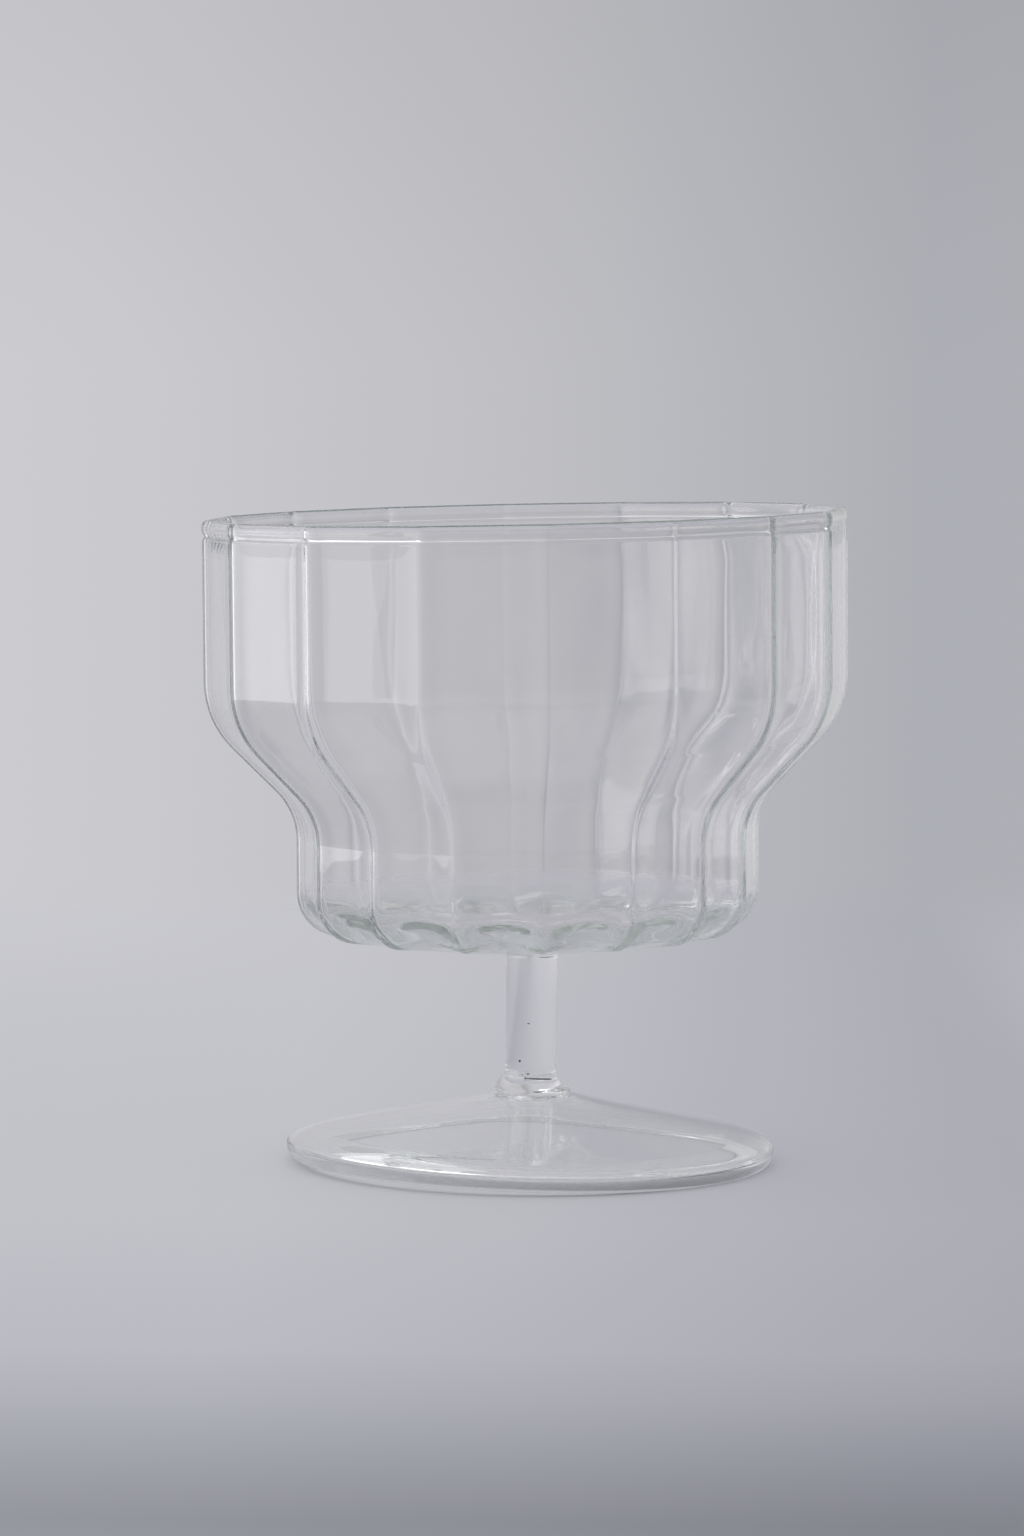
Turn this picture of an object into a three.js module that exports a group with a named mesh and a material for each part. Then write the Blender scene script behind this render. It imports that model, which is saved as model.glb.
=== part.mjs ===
// A stemmed glass cup for ice cream: a fluted bowl on a short solid stem and a hollow domed foot.
// Millimetres, +Z up. The table is z = 0, and the origin is under the middle of the outer box.
// The bowl is set on the stem a little crooked, as on a hand-finished glass.

import * as THREE from "three";

// Flutes: outward ribs with nearly flat panels between them. Rib angles turn from -Y towards +X.
// The ribs round one side, on the right of the front, have drifted forwards.
const RIB_COUNT = 16;
const FIRST_RIB_DEG = 3.9;
const RIB_HEIGHT = 0.35;
const RIB_HALF_WIDTH = 1.6;
const PANEL_FLATNESS = 0.85;
const DRIFT_DEG = 3.3;
const DRIFT_MIDDLE_DEG = 78;
const DRIFT_SPREAD_DEG = 27;

// Outer meridian of the bowl at the rib tips. Its heights count from the underside of the bowl.
const MOUTH_RADIUS = 45;
const WAIST_RADIUS = 32.35;
const SHOULDER_ARC = 13.7;
const SHOULDER_SLOPE_DEG = 44.5;
const WAIST_ARC = 9.6;
const WAIST_HEIGHT = 16.3;
const HEEL_ARC = 6.2;
const UNDERSIDE_SLOPE_DEG = 6.5;
const UNDERSIDE_FLAT_RADIUS = 4.8;
const WALL_TOP = 59;

// Under the bowl the flutes grow between these two radii.
const FLUTES_START_RADIUS = 19;
const FLUTES_FULL_RADIUS = 30.5;

// Glass thickness along the bowl. The glass gathers in the heel, most between the ribs: from a radius
// on the underside, in full up to one height, and no longer at another.
const WALL = 0.9;
const FLOOR = 1.4;
const FLOOR_TOP = 1.5;
const WALL_START = 7;
const HEEL_AT_PANEL = 2.0;
const HEEL_AT_RIB = 1.5;
const HEEL_START_RADIUS = 17;
const HEEL_FULL_HEIGHT = 3.5;
const HEEL_END_HEIGHT = 12;

// Fire-polished rim. It stands a little out of the wall.
const RIM_BEAD_WIDTH = 1.5;
const RIM_BEAD_HEIGHT = 2.0;
const RIM_PROUD = 0.1;
const RIM_FLUTE_SHARE = 0.8;

// Foot: a thin blown cone under a small crown. It turns down at its shoulder into a rolled edge,
// which stands on a narrow flat. Heights count from the table.
const FOOT_RADIUS = 34.2;
const FOOT_APEX = 9.6;
const FOOT_THICKNESS = 0.8;
const CONE_START_RADIUS = 13;
const CONE_START_HEIGHT = 7.75;
const CONE_END_RADIUS = 29.7;
const CONE_SLOPE_DEG = 12.1;
const SHOULDER_REACH = 2.5;
const SHOULDER_RISE = 0.6;
const EDGE_HEIGHT = 2.2;
const EDGE_TOP_WIDTH = 1.0;
const STANDING_INNER_RADIUS = 31.8;
const STANDING_FLAT = 1.2;

// Collar: the flared weld on the foot, with a rounded skirt.
const COLLAR_RADIUS = 5.65;
const COLLAR_HEIGHT = 3.3;
const SKIRT_HEIGHT = 0.6;
const SKIRT_ROUNDING = 0.2;

// Solid stem, and the seal that flares from it under the bowl.
const STEM_BOTTOM = FOOT_APEX + COLLAR_HEIGHT;
const STEM_TOP = 28.45;
const STEM_BOTTOM_RADIUS = 3.55;
const STEM_TOP_RADIUS = 3.65;
const SEAL_HEIGHT = 0.7;
const SEAL_RADIUS = 4.3;
const SEAL_BEND_HEIGHT = 0.4;
const SEAL_BEND_RADIUS = 3.85;

// How the bowl sits: its sideways offset and its lean, both towards -X, and the foot's place. The
// mouth slopes down towards -X a little more than the bowl leans.
const BOWL_OFFSET = 0.5;
const BOWL_LEAN_DEG = 0.95;
const MOUTH_SLANT_DEG = 0.65;
const BOWL_GAP = 0.35;
const RIM_GAP = 0.3;
const FOOT_AXIS_X = 1.33;

// Fineness of the meshes.
const RIB_COLUMNS = [0, 0.07, 0.17, 0.5, 0.83, 0.93];
const HEEL_STEPS = 5;
const WALL_ARC_STEPS = 4;
const RIM_SECTION_SIDES = 8;
const COLLAR_CURVE_STEPS = 4;
const SHOULDER_STEPS = 6;
const EDGE_CURVE_STEPS = 4;
const STEM_SIDES = 32;
const FOOT_SIDES = 48;

const radians = THREE.MathUtils.degToRad;
const smoothstep = THREE.MathUtils.smoothstep;
const lerp = THREE.MathUtils.lerp;
const RIB_PITCH = (2 * Math.PI) / RIB_COUNT;

// Angles of the columns of vertices round the bowl, closest together over each rib.
function columnAngles() {
  const angles = [];
  for (let rib = 0; rib < RIB_COUNT; rib += 1) {
    for (const share of RIB_COLUMNS) {
      angles.push(radians(FIRST_RIB_DEG) + (rib + share) * RIB_PITCH);
    }
  }
  return angles;
}

// Angle from the nearest rib, from 0 on the rib to half a pitch in the middle of a panel.
function angleFromRib(angle) {
  const turns = (angle - radians(FIRST_RIB_DEG)) / RIB_PITCH;
  return Math.abs(turns - Math.round(turns)) * RIB_PITCH;
}

// How far a flat panel between two ribs lies inside the circle through the rib tips.
function panelDrop(angle, radius) {
  const half = RIB_PITCH / 2;
  const chord = Math.cos(half) / Math.cos(half - angleFromRib(angle));
  return PANEL_FLATNESS * radius * (1 - chord);
}

// 1 on the crest of a rib, fading to 0 beside it.
function ribCrest(angle, radius) {
  const across = (angleFromRib(angle) * radius) / RIB_HALF_WIDTH;
  return Math.exp(-across * across);
}

// 0 on a rib and 1 in the middle of a panel, with a soft wave between.
function panelWeight(angle) {
  return 0.5 - 0.5 * Math.cos((2 * Math.PI * angleFromRib(angle)) / RIB_PITCH);
}

// Points of an arc of the meridian with their outward normals. side is -1 on a hollow arc.
function arcStations(centreR, centreZ, radius, fromDeg, toDeg, steps, side) {
  const stations = [];
  for (let i = 0; i <= steps; i += 1) {
    const angle = radians(lerp(fromDeg, toDeg, i / steps));
    const across = Math.cos(angle);
    const up = Math.sin(angle);
    stations.push({
      r: centreR + radius * across,
      z: centreZ + radius * up,
      normalR: side * across,
      normalZ: side * up,
    });
  }
  return stations;
}

// The meridian at the rib tips, from under the middle of the bowl up to the top of the wall.
function bowlMeridian() {
  const slope = radians(UNDERSIDE_SLOPE_DEG);
  const heelR = WAIST_RADIUS - HEEL_ARC;
  const heelStartR = heelR + HEEL_ARC * Math.sin(slope);
  const heelStartZ = (heelStartR - UNDERSIDE_FLAT_RADIUS) * Math.tan(slope);
  const heelZ = heelStartZ + HEEL_ARC * Math.cos(slope);
  const undersideRadii = [0, 1 / 3, 2 / 3].map((share) => lerp(UNDERSIDE_FLAT_RADIUS, heelStartR, share));
  const underside = [0, ...undersideRadii].map((r) => ({
    r,
    z: Math.max(0, r - UNDERSIDE_FLAT_RADIUS) * Math.tan(slope),
    normalR: r > UNDERSIDE_FLAT_RADIUS ? Math.sin(slope) : 0,
    normalZ: r > UNDERSIDE_FLAT_RADIUS ? -Math.cos(slope) : -1,
  }));
  const heel = arcStations(heelR, heelZ, HEEL_ARC, UNDERSIDE_SLOPE_DEG - 90, 0, HEEL_STEPS, 1);

  const turn = radians(SHOULDER_SLOPE_DEG);
  const waistR = WAIST_RADIUS + WAIST_ARC;
  const waistEndDeg = 180 - SHOULDER_SLOPE_DEG;
  const waist = arcStations(waistR, WAIST_HEIGHT, WAIST_ARC, 180, waistEndDeg, WALL_ARC_STEPS, -1);
  const slopeStart = waist[waist.length - 1];
  const shoulderR = MOUTH_RADIUS - SHOULDER_ARC;
  const slopeEndR = shoulderR + SHOULDER_ARC * Math.cos(turn);
  const slopeEndZ = slopeStart.z + (slopeEndR - slopeStart.r) / Math.tan(turn);
  const shoulderZ = slopeEndZ + SHOULDER_ARC * Math.sin(turn);
  const shoulderStartDeg = -SHOULDER_SLOPE_DEG;
  const shoulder = arcStations(shoulderR, shoulderZ, SHOULDER_ARC, shoulderStartDeg, 0, WALL_ARC_STEPS, 1);

  const top = { r: MOUTH_RADIUS, z: WALL_TOP, normalR: 1, normalZ: 0 };
  return [...underside, ...heel, ...waist, ...shoulder, top];
}

// Strength of the flutes: full on the walls, fading out under the bowl.
function fluteStrength(station) {
  const underneath = station.z < HEEL_ARC && station.r < FLUTES_FULL_RADIUS;
  return underneath ? smoothstep(station.r, FLUTES_START_RADIUS, FLUTES_FULL_RADIUS) : 1;
}

// Glass thickness at a station, as it varies between ribs and panels.
function thicknessAt(station, angle) {
  const plain = lerp(FLOOR, WALL, smoothstep(station.z, FLOOR_TOP, WALL_START));
  const heel = lerp(HEEL_AT_RIB, HEEL_AT_PANEL, panelWeight(angle));
  const insideHeel = smoothstep(station.r, HEEL_START_RADIUS, WAIST_RADIUS - HEEL_ARC);
  const belowWall = 1 - smoothstep(station.z, HEEL_FULL_HEIGHT, HEEL_END_HEIGHT);
  return lerp(plain, heel, insideHeel * belowWall);
}

// Point of the bowl's wall in the plane of one column, at a depth of glass from its outside.
function wallPoint(station, angle, depth) {
  const rib = RIB_HEIGHT * (1 - ribCrest(angle, station.r));
  const inset = depth + fluteStrength(station) * (panelDrop(angle, station.r) + rib);
  return [station.r - station.normalR * inset, station.z - station.normalZ * inset];
}

// Closed body from rings of points. A ring of one point is a pole on the axis. Without poles the
// last ring joins the first. The rings run anticlockwise round the section, seen with +r rightwards.
function bodyOfRings(rings) {
  const positions = rings.flat(2);
  const starts = [];
  let count = 0;
  for (const ring of rings) {
    starts.push(count);
    count += ring.length;
  }
  const index = [];
  const last = rings[0].length === 1 ? rings.length - 1 : rings.length;
  const columns = rings[1].length;
  for (let i = 0; i < last; i += 1) {
    const next = (i + 1) % rings.length;
    for (let j = 0; j < columns; j += 1) {
      const k = (j + 1) % columns;
      const a = starts[i] + (rings[i].length === 1 ? 0 : j);
      const b = starts[i] + (rings[i].length === 1 ? 0 : k);
      const c = starts[next] + (rings[next].length === 1 ? 0 : k);
      const d = starts[next] + (rings[next].length === 1 ? 0 : j);
      if (a !== b) {
        index.push(a, b, d);
      }
      if (c !== d) {
        index.push(c, d, b);
      }
    }
  }
  const geometry = new THREE.BufferGeometry();
  geometry.setAttribute("position", new THREE.Float32BufferAttribute(positions, 3));
  geometry.setIndex(index);
  geometry.computeVertexNormals();
  return geometry;
}

// One ring of the bowl or the rim. pointAt gives the radius and height of each column, before the
// drift of the ribs and the slant of the mouth.
function ringAt(angles, pointAt) {
  return angles.map((angle) => {
    const [r, z] = pointAt(angle);
    const off = (angle - radians(DRIFT_MIDDLE_DEG)) / radians(DRIFT_SPREAD_DEG);
    const drifted = angle - radians(DRIFT_DEG) * Math.exp(-off * off);
    const x = r * Math.sin(drifted);
    const slant = (Math.tan(radians(MOUTH_SLANT_DEG)) * x * z) / WALL_TOP;
    return [x, -r * Math.cos(drifted), z + slant];
  });
}

function bowlGeometry() {
  const angles = columnAngles();
  const stations = bowlMeridian();
  const [centre, ...around] = stations;
  const rings = [[[0, 0, centre.z]]];
  for (const station of around) {
    rings.push(ringAt(angles, (angle) => wallPoint(station, angle, 0)));
  }
  for (const station of around.toReversed()) {
    rings.push(ringAt(angles, (angle) => wallPoint(station, angle, thicknessAt(station, angle))));
  }
  rings.push([[0, 0, FLOOR]]);
  return bodyOfRings(rings);
}

// The rim is a rounded bead that follows the flutes more softly than the wall does.
function rimBeadGeometry() {
  const angles = columnAngles();
  const middleZ = WALL_TOP + RIM_GAP + RIM_BEAD_HEIGHT / 2;
  const middleR = MOUTH_RADIUS + RIM_PROUD - RIM_BEAD_WIDTH / 2;
  const rings = [];
  for (let side = 0; side < RIM_SECTION_SIDES; side += 1) {
    const around = (side / RIM_SECTION_SIDES - 0.25) * 2 * Math.PI;
    const z = middleZ + (RIM_BEAD_HEIGHT / 2) * Math.sin(around);
    rings.push(
      ringAt(angles, (angle) => {
        const drop = RIM_FLUTE_SHARE * (panelDrop(angle, middleR) + RIB_HEIGHT * panelWeight(angle));
        return [middleR - drop + (RIM_BEAD_WIDTH / 2) * Math.cos(around), z];
      }),
    );
  }
  return bodyOfRings(rings);
}

// A turned piece: its section, as radius and height, runs up its outer side.
function turned(section, sides) {
  const geometry = new THREE.LatheGeometry(section, sides);
  geometry.rotateX(Math.PI / 2);
  return geometry;
}

function sectionPoint(r, z) {
  return new THREE.Vector2(r, z);
}

function stemGeometry() {
  return turned(
    [
      sectionPoint(0, STEM_BOTTOM),
      sectionPoint(STEM_BOTTOM_RADIUS, STEM_BOTTOM),
      sectionPoint(STEM_TOP_RADIUS, STEM_TOP),
      sectionPoint(0, STEM_TOP),
    ],
    STEM_SIDES,
  );
}

// The seal flares where the stem was melted to the underside of the bowl.
function bowlSealGeometry() {
  const top = STEM_TOP + SEAL_HEIGHT;
  return turned(
    [
      sectionPoint(0, STEM_TOP),
      sectionPoint(STEM_TOP_RADIUS, STEM_TOP),
      sectionPoint(SEAL_BEND_RADIUS, STEM_TOP + SEAL_BEND_HEIGHT),
      sectionPoint(SEAL_RADIUS, top),
      sectionPoint(0, top),
    ],
    STEM_SIDES,
  );
}

// The collar flares from the stem and ends in a rounded skirt on the foot.
function footCollarGeometry() {
  const outline = new THREE.Path();
  outline.moveTo(0, FOOT_APEX);
  const skirtTop = FOOT_APEX + SKIRT_HEIGHT;
  const skirtRadius = COLLAR_RADIUS - SKIRT_ROUNDING;
  outline.lineTo(skirtRadius, FOOT_APEX);
  outline.quadraticCurveTo(COLLAR_RADIUS + SKIRT_ROUNDING, FOOT_APEX, skirtRadius, skirtTop);
  outline.quadraticCurveTo(STEM_BOTTOM_RADIUS, skirtTop + SKIRT_HEIGHT, STEM_BOTTOM_RADIUS, STEM_BOTTOM);
  outline.lineTo(0, STEM_BOTTOM);
  return turned(outline.getPoints(COLLAR_CURVE_STEPS), STEM_SIDES);
}

// Outer line of the foot, from its crown down to the top of its rolled edge.
function footLine() {
  const slope = Math.tan(radians(CONE_SLOPE_DEG));
  const coneEndHeight = CONE_START_HEIGHT - (CONE_END_RADIUS - CONE_START_RADIUS) * slope;
  const line = new THREE.Path();
  line.moveTo(0, FOOT_APEX);
  line.lineTo(COLLAR_RADIUS, FOOT_APEX);
  line.lineTo(CONE_START_RADIUS, CONE_START_HEIGHT);
  line.lineTo(CONE_END_RADIUS, coneEndHeight);
  line.bezierCurveTo(
    CONE_END_RADIUS + SHOULDER_REACH,
    coneEndHeight - SHOULDER_REACH * slope,
    FOOT_RADIUS,
    EDGE_HEIGHT + SHOULDER_RISE,
    FOOT_RADIUS,
    EDGE_HEIGHT,
  );
  return line.getPoints(SHOULDER_STEPS);
}

// The cone has the same thickness all the way. Both of its faces end level on the rolled edge.
function footGeometry() {
  const outside = footLine();
  const inside = outside.map((point, i) => {
    const before = outside[Math.max(i - 1, 0)];
    const after = outside[Math.min(i + 1, outside.length - 1)];
    const along = after.clone().sub(before).normalize();
    const r = Math.max(point.x + along.y * FOOT_THICKNESS, 0);
    return sectionPoint(r, point.y - along.x * FOOT_THICKNESS);
  });
  inside[0] = sectionPoint(0, FOOT_APEX - FOOT_THICKNESS);
  const aboveEdge = inside.filter((point) => point.y > EDGE_HEIGHT);
  const seam = sectionPoint(FOOT_RADIUS - EDGE_TOP_WIDTH, EDGE_HEIGHT);
  return turned([...aboveEdge, seam, ...outside.toReversed()], FOOT_SIDES);
}

function footEdgeGeometry() {
  const innerTop = FOOT_RADIUS - EDGE_TOP_WIDTH;
  const outline = new THREE.Path();
  outline.moveTo(STANDING_INNER_RADIUS, 0);
  outline.lineTo(STANDING_INNER_RADIUS + STANDING_FLAT, 0);
  outline.quadraticCurveTo(FOOT_RADIUS, 0, FOOT_RADIUS, EDGE_HEIGHT);
  outline.lineTo(innerTop, EDGE_HEIGHT);
  outline.quadraticCurveTo(innerTop, EDGE_HEIGHT / 3, STANDING_INNER_RADIUS, 0);
  return turned(outline.getPoints(EDGE_CURVE_STEPS), FOOT_SIDES);
}

function clearGlass(tint) {
  return new THREE.MeshStandardMaterial({
    color: tint,
    roughness: 0.04,
    metalness: 0,
    transparent: true,
    opacity: 0.35,
  });
}

function piece(name, geometry, tint) {
  const mesh = new THREE.Mesh(geometry, clearGlass(tint));
  mesh.name = name;
  return mesh;
}

// The foot, the stem and their welds stand upright on one axis.
const cup = new THREE.Group();
const base = new THREE.Group();
base.position.x = FOOT_AXIS_X;
base.add(piece("foot_edge_bead", footEdgeGeometry(), 0xdfe8e3));
base.add(piece("foot", footGeometry(), 0xe9f0ee));
base.add(piece("foot_collar", footCollarGeometry(), 0xe2eae7));
base.add(piece("stem", stemGeometry(), 0xe6edeb));
base.add(piece("bowl_stem_seal", bowlSealGeometry(), 0xe2eae7));
cup.add(base);

// The bowl and its rim share one leaning frame over the seal.
const bowlFrame = new THREE.Group();
bowlFrame.position.set(FOOT_AXIS_X - BOWL_OFFSET, 0, STEM_TOP + SEAL_HEIGHT + BOWL_GAP);
bowlFrame.rotation.y = -radians(BOWL_LEAN_DEG);
bowlFrame.add(piece("bowl", bowlGeometry(), 0xecf2f1));
bowlFrame.add(piece("rim_bead", rimBeadGeometry(), 0xe6eeec));
cup.add(bowlFrame);

export default cup;
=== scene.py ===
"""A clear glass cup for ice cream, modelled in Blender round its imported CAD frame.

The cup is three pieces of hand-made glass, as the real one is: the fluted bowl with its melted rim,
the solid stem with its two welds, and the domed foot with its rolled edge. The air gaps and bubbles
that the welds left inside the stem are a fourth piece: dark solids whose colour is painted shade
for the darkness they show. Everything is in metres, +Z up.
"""
import math
from collections import namedtuple

import bpy
from bpy.props import FloatProperty, FloatVectorProperty, IntProperty, PointerProperty
from bpy.types import NodeSocket, Operator, Panel, PropertyGroup
from mathutils import Matrix, Vector, kdtree, noise


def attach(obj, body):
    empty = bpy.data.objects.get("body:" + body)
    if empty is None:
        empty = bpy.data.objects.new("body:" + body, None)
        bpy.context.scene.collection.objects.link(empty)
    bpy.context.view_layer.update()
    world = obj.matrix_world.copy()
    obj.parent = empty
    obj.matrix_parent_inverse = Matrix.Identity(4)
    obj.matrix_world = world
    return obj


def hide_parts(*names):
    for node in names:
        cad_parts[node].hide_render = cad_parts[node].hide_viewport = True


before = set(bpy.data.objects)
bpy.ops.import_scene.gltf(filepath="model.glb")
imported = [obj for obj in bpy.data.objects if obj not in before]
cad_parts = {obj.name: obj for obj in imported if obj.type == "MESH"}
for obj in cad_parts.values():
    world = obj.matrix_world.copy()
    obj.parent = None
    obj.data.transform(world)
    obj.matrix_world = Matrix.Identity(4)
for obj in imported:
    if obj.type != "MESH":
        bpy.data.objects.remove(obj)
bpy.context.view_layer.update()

bl_info = {
    "name": "Ice Cream Cup",
    "version": (1, 0, 0),
    "blender": (4, 5, 0),
    "location": "View3D > Sidebar > Cup",
    "description": "Builds a fluted glass ice cream cup and a small studio stage for it",
    "category": "Add Mesh",
}

MM = 0.001


# ---- Sizes and colours ----


def number(name, description, default, **limits):
    return FloatProperty(name=name, description=description, default=default, **limits)


def length(name, description, millimetres):
    return number(name, description, millimetres * MM, unit="LENGTH", precision=5)


def angle(name, description, degrees):
    return number(name, description, math.radians(degrees), unit="ROTATION")


def share(name, description, default):
    return number(name, description, default, min=0, max=1, subtype="FACTOR")


def colour(name, description, default):
    return FloatVectorProperty(
        name=name, description=description, default=default, size=4, min=0, max=1, subtype="COLOR"
    )


class BowlSizes(PropertyGroup):
    """Sizes of the fluted bowl. Heights count from its underside."""

    ribs: IntProperty(name="Ribs", description="Number of ribs round the bowl", default=16)
    first_rib: angle("First rib", "Angle of one rib from -Y towards +X", 3.9)
    rib_drift: angle("Rib drift", "How far the ribs on the right have drifted forwards", 3.3)
    rib_height: length("Rib height", "How far a rib stands out of the panels", 0.35)
    rib_half_width: length("Rib half width", "Half the width of a rib", 1.6)
    inner_rib: share("Inner rib", "Share of the rib that shows on the inside", 1)
    panel_flatness: share("Panel flatness", "1 makes the panels between the ribs flat", 0.85)
    mouth_radius: length("Mouth radius", "Radius at the ribs in the upper wall", 45)
    waist_radius: length("Waist radius", "Radius at the ribs in the waist", 32.35)
    shoulder_arc: length("Shoulder arc", "Radius of the curve under the upper wall", 13.7)
    shoulder_slope: angle("Shoulder slope", "Slope between shoulder and waist", 44.5)
    waist_arc: length("Waist arc", "Radius of the hollow curve into the waist", 9.6)
    waist_height: length("Waist height", "Height at which the waist is narrowest", 16.3)
    heel_arc: length("Heel arc", "Radius of the heel", 6.2)
    underside_slope: angle("Underside slope", "Slope of the underside", 6.5)
    underside_flat: length("Underside flat", "Radius of the flat on the seal", 4.8)
    wall_top: length("Wall top", "Height at which the rim starts", 59)
    wall: length("Wall", "Thickness of the wall", 0.9)
    floor: length("Floor", "Thickness of the floor", 1.4)
    heel_at_panel: length("Heel at panels", "Thickness of the heel between ribs", 2.0)
    heel_at_rib: length("Heel at ribs", "Thickness of the heel on a rib", 1.5)
    gather_full: length("Gather full", "Height up to which the heel has its full thickness", 2.5)
    gather_end: length("Gather end", "Height at which the heel is as thin as the wall", 8)
    rim_width: length("Rim width", "Width of the melted rim", 1.45)
    rim_height: length("Rim height", "Height of the melted rim", 2.3)
    rim_proud: length("Rim proud", "How far the rim stands out of the wall at the ribs", 0.15)
    offset: length("Offset", "How far the bowl sits off the stem's axis, towards -X", 0.5)
    lean: angle("Lean", "How far the bowl leans towards -X", 0.95)
    slant: angle("Mouth slant", "How much further the mouth slopes down towards -X", 0.65)
    base_height: length("Base height", "Height of the bowl's underside over the table", 29.5)


class StemSizes(PropertyGroup):
    """Sizes of the solid stem with its collar and its seal."""

    axis_x: length("Axis", "Place of the stem's and the foot's axis along X", 1.33)
    collar_radius: length("Collar radius", "Radius of the collar's skirt on the foot", 5.62)
    collar_height: length("Collar height", "Height of the flare from the foot", 3.3)
    bottom_radius: length("Bottom radius", "Radius at the bottom", 3.57)
    top_radius: length("Top radius", "Radius under the seal", 3.66)
    seal_height: length("Seal height", "Height of the flare under the bowl", 0.8)
    seal_radius: length("Seal radius", "Radius of the flare under the bowl", 3.85)


class FootSizes(PropertyGroup):
    """Sizes of the hollow domed foot. Heights count from the table."""

    radius: length("Radius", "Outer radius of the rolled edge", 34.2)
    apex: length("Apex", "Height of the dome where the collar stands", 9.6)
    thickness: length("Thickness", "Thickness of the dome", 0.8)
    cone_start: length("Cone start", "Radius at which the dome turns straight", 13)
    cone_end: length("Cone end", "Radius at which the rolled edge starts", 29.7)
    cone_slope: angle("Cone slope", "Slope of the dome", 12.1)
    shoulder_drop: length("Shoulder drop", "How far the dome falls before it turns straight", 1.85)
    shoulder_reach: length("Shoulder reach", "How far the dome's slope is held into the edge", 2.5)
    edge_height: length("Edge height", "Height at which the rolled edge is widest", 2.2)
    ring_outer: length("Ring outside", "Outer radius of the flat on which the cup stands", 33)
    ring_inner: length("Ring inside", "Inner radius of the flat on which the cup stands", 31.8)
    lift: length("Lift", "How far the edge is raised on its front left", 0.9)
    lift_turn: angle("Lift turn", "Where the edge is raised, from -Y towards +X", -45)


class GlassFinish(PropertyGroup):
    """The look of the glass."""

    bowl_tint: colour("Bowl tint", "Colour of the bowl's thin wall", (0.96, 0.954, 0.96, 1))
    stem_tint: colour("Stem tint", "Colour of the stem", (0.99, 0.988, 0.99, 1))
    foot_tint: colour("Foot tint", "Colour of the foot's thin dome", (1, 1, 1, 1))
    heel_tint: colour("Heel tint", "Colour where the bowl's glass gathers", (0.86, 0.895, 0.875, 1))
    edge_tint: colour("Edge tint", "Colour of the foot's thick edge", (0.95, 0.965, 0.955, 1))
    shadow: colour("Shadow", "Light that thin glass lets through", (1, 1, 1, 1))
    heel_shadow: colour(
        "Heel shadow", "Light that the bowl's heel lets through", (0.95, 0.96, 0.95, 1)
    )
    contact_shadow: colour(
        "Contact shadow", "Light that the foot's standing ring lets through", (0.12, 0.13, 0.12, 1)
    )
    edge_shadow: colour(
        "Edge shadow", "Light that glass seen from its edge lets through", (0.98, 0.985, 0.98, 1)
    )
    depth_colour: colour(
        "Depth colour", "Cast of light that went a long way in the glass", (0.43, 0.505, 0.46, 1)
    )
    bowl_density: number("Bowl density", "How fast the bowl's glass dims light, per metre", 12)
    stem_density: number("Stem density", "How fast the stem's glass dims light, per metre", 4)
    foot_density: number("Foot density", "How fast the foot's glass dims light, per metre", 2)
    ior: number("IOR", "Refractive index", 1.474, min=1, max=2)
    waviness: length("Waviness", "Depth of the hand-made waves in the wall", 0.05)


class StageSettings(PropertyGroup):
    """The lamps and the camera."""

    softbox: number("Softbox", "Brightness of the softbox", 1.06)
    top_light: number("Top light", "Brightness of the top light", 1.4)
    camera_place: FloatVectorProperty(
        name="Camera", description="Place of the camera", default=(-0.00169, -0.780, 0.1166),
        subtype="TRANSLATION",
    )
    camera_pitch: angle("Pitch", "How far the camera looks down", 4.5)
    camera_roll: angle("Roll", "How far the camera is turned anticlockwise", 0.5)
    lens: number("Lens", "Focal length in millimetres on a 36 mm sensor", 131.25)


# ---- Meshes ----


def smoothstep(value, low, high):
    t = min(max((value - low) / (high - low), 0), 1)
    return t * t * (3 - 2 * t)


def lerp(a, b, t):
    return a + (b - a) * t


def bell(value, middle, width):
    """1 at the middle, and softly down to nothing on both sides of it."""
    return math.exp(-(((value - middle) / width) ** 2))


# Each of the next three draws a stretch of a half section, as points of radius and height.


def straight(start, end, steps, *out):
    """From start, without it, to end. Out is added to each point."""
    shares = [i / steps for i in range(1, steps + 1)]
    return [(lerp(start[0], end[0], t), lerp(start[1], end[1], t), *out) for t in shares]


def bezier(a, b, c, d, steps):
    """From a, without it, to d."""
    points = []
    for i in range(1, steps + 1):
        t = i / steps
        s = 1 - t
        weights = (s**3, 3 * s * s * t, 3 * s * t * t, t**3)
        points.append(
            tuple(
                weights[0] * a[k] + weights[1] * b[k] + weights[2] * c[k] + weights[3] * d[k]
                for k in (0, 1)
            )
        )
    return points


def arc(centre_r, centre_z, radius, from_turn, to_turn, steps, side):
    """Both ends included, each point with its outward normal. Side is -1 for a hollow curve."""
    points = []
    for i in range(steps + 1):
        turn = lerp(from_turn, to_turn, i / steps)
        across, up = math.cos(turn), math.sin(turn)
        r, z = centre_r + radius * across, centre_z + radius * up
        points.append((r, z, side * across, side * up))
    return points


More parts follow.
